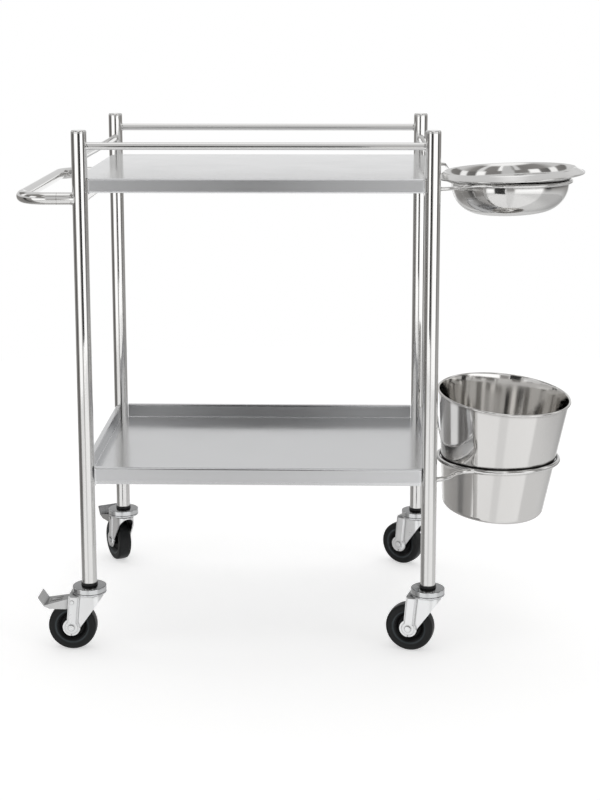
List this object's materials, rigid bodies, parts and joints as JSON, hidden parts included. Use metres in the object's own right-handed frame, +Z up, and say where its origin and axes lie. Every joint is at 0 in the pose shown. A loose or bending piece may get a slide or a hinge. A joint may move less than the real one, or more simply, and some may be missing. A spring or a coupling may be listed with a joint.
{
  "type": "dressing trolley",
  "caption": "Stainless steel dressing trolley with guarded upper shelf, lower tray, push handle, lift-out bowl and pail in side rings, and swivel castors, some with foot brakes.",
  "frame": {"origin": "on the floor, under the middle of the whole trolley's box with bowl, pail and handle", "axes": "+X from the push handle towards the bowl and pail, +Y towards the back, +Z up"},
  "size_m": [0.9306, 0.531, 0.862],
  "materials": {
    "tube_steel": "polished stainless steel tube",
    "shelf_steel": "bright stainless steel sheet",
    "bowl_steel": "satin spun stainless steel",
    "black_plastic": "black moulded",
    "bright_plating": "bright zinc or chrome plate",
    "plain_steel": "plain turned steel",
    "hub_plastic": "black moulded",
    "tyre_rubber": "black rubber"
  },
  "bodies": {
    "frame": {"leg_front_left": "tube_steel", "leg_front_right": "tube_steel", "leg_back_left": "tube_steel", "leg_back_right": "tube_steel", "push_handle": "tube_steel", "handle_stub_front": "tube_steel", "handle_stub_back": "tube_steel", "cross_tube_upper_left": "tube_steel", "cross_tube_upper_right": "tube_steel", "cross_tube_lower_left": "tube_steel", "cross_tube_lower_right": "tube_steel", "guard_rail_front": "tube_steel", "guard_rail_back": "tube_steel", "guard_rail_left": "tube_steel", "guard_rail_right": "tube_steel", "bowl_ring": "tube_steel", "pail_ring": "tube_steel", "leg_cap_front_left": "tube_steel", "leg_cap_front_right": "tube_steel", "leg_cap_back_left": "tube_steel", "leg_cap_back_right": "tube_steel", "upper_shelf": "shelf_steel", "lower_shelf": "shelf_steel", "stem_collars": "black_plastic", "swivel_cups": "bright_plating", "castor_stems": "plain_steel", "thrust_races": "plain_steel"},
    "bowl": {"bowl": "bowl_steel"},
    "pail": {"pail": "bowl_steel"},
    "swivel_front_left": {"castor_fork_front_left": "bright_plating", "axle_front_left": "bright_plating", "axle_sleeve_front_left": "plain_steel", "pedal_pin_front_left": "bright_plating", "pedal_spring_front_left": "plain_steel"},
    "wheel_front_left": {"wheel_hub_front_left": "hub_plastic", "tyre_front_left": "tyre_rubber"},
    "pedal_front_left": {"brake_pedal_front_left": "bright_plating"},
    "swivel_front_right": {"castor_fork_front_right": "bright_plating", "axle_front_right": "bright_plating", "axle_sleeve_front_right": "plain_steel"},
    "wheel_front_right": {"wheel_hub_front_right": "hub_plastic", "tyre_front_right": "tyre_rubber"},
    "swivel_back_left": {"castor_fork_back_left": "bright_plating", "axle_back_left": "bright_plating", "axle_sleeve_back_left": "plain_steel", "pedal_pin_back_left": "bright_plating", "pedal_spring_back_left": "plain_steel"},
    "wheel_back_left": {"wheel_hub_back_left": "hub_plastic", "tyre_back_left": "tyre_rubber"},
    "pedal_back_left": {"brake_pedal_back_left": "bright_plating"},
    "swivel_back_right": {"castor_fork_back_right": "bright_plating", "axle_back_right": "bright_plating", "axle_sleeve_back_right": "plain_steel"},
    "wheel_back_right": {"wheel_hub_back_right": "hub_plastic", "tyre_back_right": "tyre_rubber"}
  },
  "joints": [
    {"name": "bowl_lift", "type": "slide", "parent": "frame", "child": "bowl", "axis": [0, 0, 1], "range_m": [0, 0.15]},
    {"name": "pail_lift", "type": "slide", "parent": "frame", "child": "pail", "axis": [0, 0, 1], "range_m": [0, 0.2]},
    {"name": "castor_swivel_front_left", "type": "hinge", "parent": "frame", "child": "swivel_front_left", "pos_m": [-0.35427, -0.23755, 0.096], "axis": [0, 0, 1], "continuous": true},
    {"name": "wheel_spin_front_left", "type": "hinge", "parent": "swivel_front_left", "child": "wheel_front_left", "pos_m": [-0.38326, -0.23654, 0.04], "axis": [0.0349, 0.9994, 0], "continuous": true},
    {"name": "brake_front_left", "type": "hinge", "parent": "swivel_front_left", "child": "pedal_front_left", "pos_m": [-0.38126, -0.23661, 0.084], "axis": [-0.0349, -0.9994, 0], "range_deg": [0, 12]},
    {"name": "castor_swivel_front_right", "type": "hinge", "parent": "frame", "child": "swivel_front_right", "pos_m": [0.20573, -0.23755, 0.096], "axis": [0, 0, 1], "continuous": true},
    {"name": "wheel_spin_front_right", "type": "hinge", "parent": "swivel_front_right", "child": "wheel_front_right", "pos_m": [0.17785, -0.22956, 0.04], "axis": [0.2756, 0.9613, 0], "continuous": true},
    {"name": "castor_swivel_back_left", "type": "hinge", "parent": "frame", "child": "swivel_back_left", "pos_m": [-0.35427, 0.18245, 0.096], "axis": [0, 0, 1], "continuous": true},
    {"name": "wheel_spin_back_left", "type": "hinge", "parent": "swivel_back_left", "child": "wheel_back_left", "pos_m": [-0.36833, 0.20781, 0.04], "axis": [0.8746, 0.4848, 0], "continuous": true},
    {"name": "brake_back_left", "type": "hinge", "parent": "swivel_back_left", "child": "pedal_back_left", "pos_m": [-0.36736, 0.20607, 0.084], "axis": [-0.8746, -0.4848, 0], "range_deg": [0, 12]},
    {"name": "castor_swivel_back_right", "type": "hinge", "parent": "frame", "child": "swivel_back_right", "pos_m": [0.20573, 0.18245, 0.096], "axis": [0, 0, 1], "continuous": true},
    {"name": "wheel_spin_back_right", "type": "hinge", "parent": "swivel_back_right", "child": "wheel_back_right", "pos_m": [0.18141, 0.19825, 0.04], "axis": [0.5446, 0.8387, 0], "continuous": true}
  ]
}
